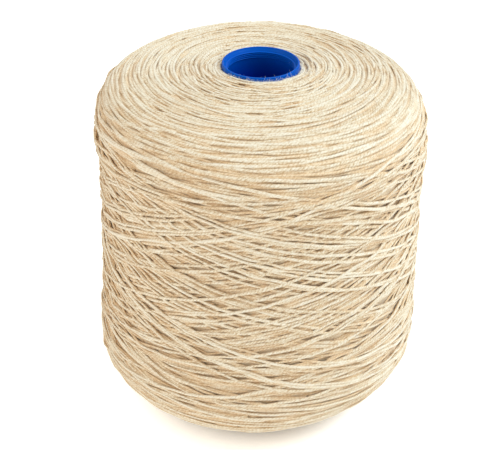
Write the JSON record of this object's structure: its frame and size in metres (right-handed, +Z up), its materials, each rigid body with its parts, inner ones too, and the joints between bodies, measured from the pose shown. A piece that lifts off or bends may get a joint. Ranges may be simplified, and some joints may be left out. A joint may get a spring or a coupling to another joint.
{
  "type": "cone of wool yarn",
  "caption": "Cross-wound cone of natural heathered wool yarn on a tapered blue plastic tube, open through its middle.",
  "frame": {"origin": "centre of the tube's foot, on the surface it stands on", "axes": "+Z up the tube from its wide foot to its narrow mouth, -Y towards the camera of the picture, +X to its right"},
  "size_m": [0.1527, 0.1513, 0.17],
  "materials": {
    "blue_plastic": "smooth moulded blue plastic, satin gloss",
    "shetland_wool": "hairy woollen-spun yarn in undyed oatmeal, slightly heathered"
  },
  "bodies": {
    "root": {"cone_tube": "blue_plastic", "wound_yarn": "shetland_wool"}
  },
  "joints": []
}
